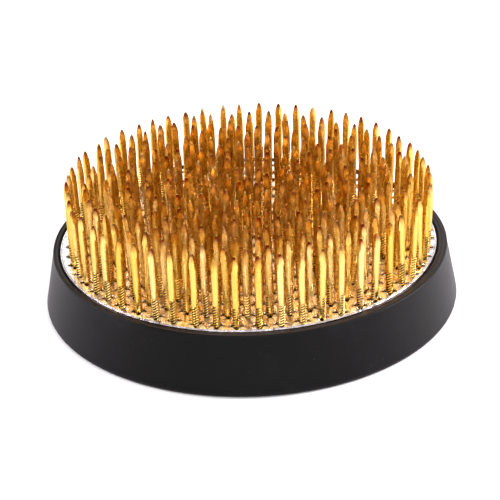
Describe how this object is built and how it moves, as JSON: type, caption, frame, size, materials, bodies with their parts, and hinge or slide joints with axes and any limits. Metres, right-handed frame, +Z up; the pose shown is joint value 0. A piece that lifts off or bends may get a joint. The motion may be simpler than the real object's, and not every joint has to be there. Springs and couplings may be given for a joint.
{
  "type": "flower frog",
  "caption": "Round weighted flower frog: a cast disc set with upright brass pins that grip cut stems, standing in a removable black rubber ring.",
  "frame": {"origin": "centre of the underside of the rubber ring, level with the table", "axes": "+Z up along the axis of the disc, the way the pins point; the object is round, so +X and +Y are free"},
  "size_m": [0.077, 0.077, 0.0247],
  "materials": {
    "ring_rubber": "matt moulded black rubber with a faint dusty bloom",
    "base_alloy": null,
    "pin_brass": "drawn brass wire, bright, slightly darkened at the points"
  },
  "bodies": {
    "ring": {"rubber_ring": "ring_rubber"},
    "pin_holder": {"base_casting": "base_alloy", "pin_centre": "pin_brass", "pins_ring_1": "pin_brass", "pins_ring_2": "pin_brass", "pins_ring_3": "pin_brass", "pins_ring_4": "pin_brass", "pins_ring_5": "pin_brass", "pins_ring_6": "pin_brass", "pins_ring_7": "pin_brass", "pins_ring_8": "pin_brass", "pins_ring_9": "pin_brass"}
  },
  "joints": [
    {"name": "ring_pull_off", "type": "slide", "parent": "ring", "child": "pin_holder", "axis": [0, 0, 1], "range_m": [0, 0.02]}
  ]
}
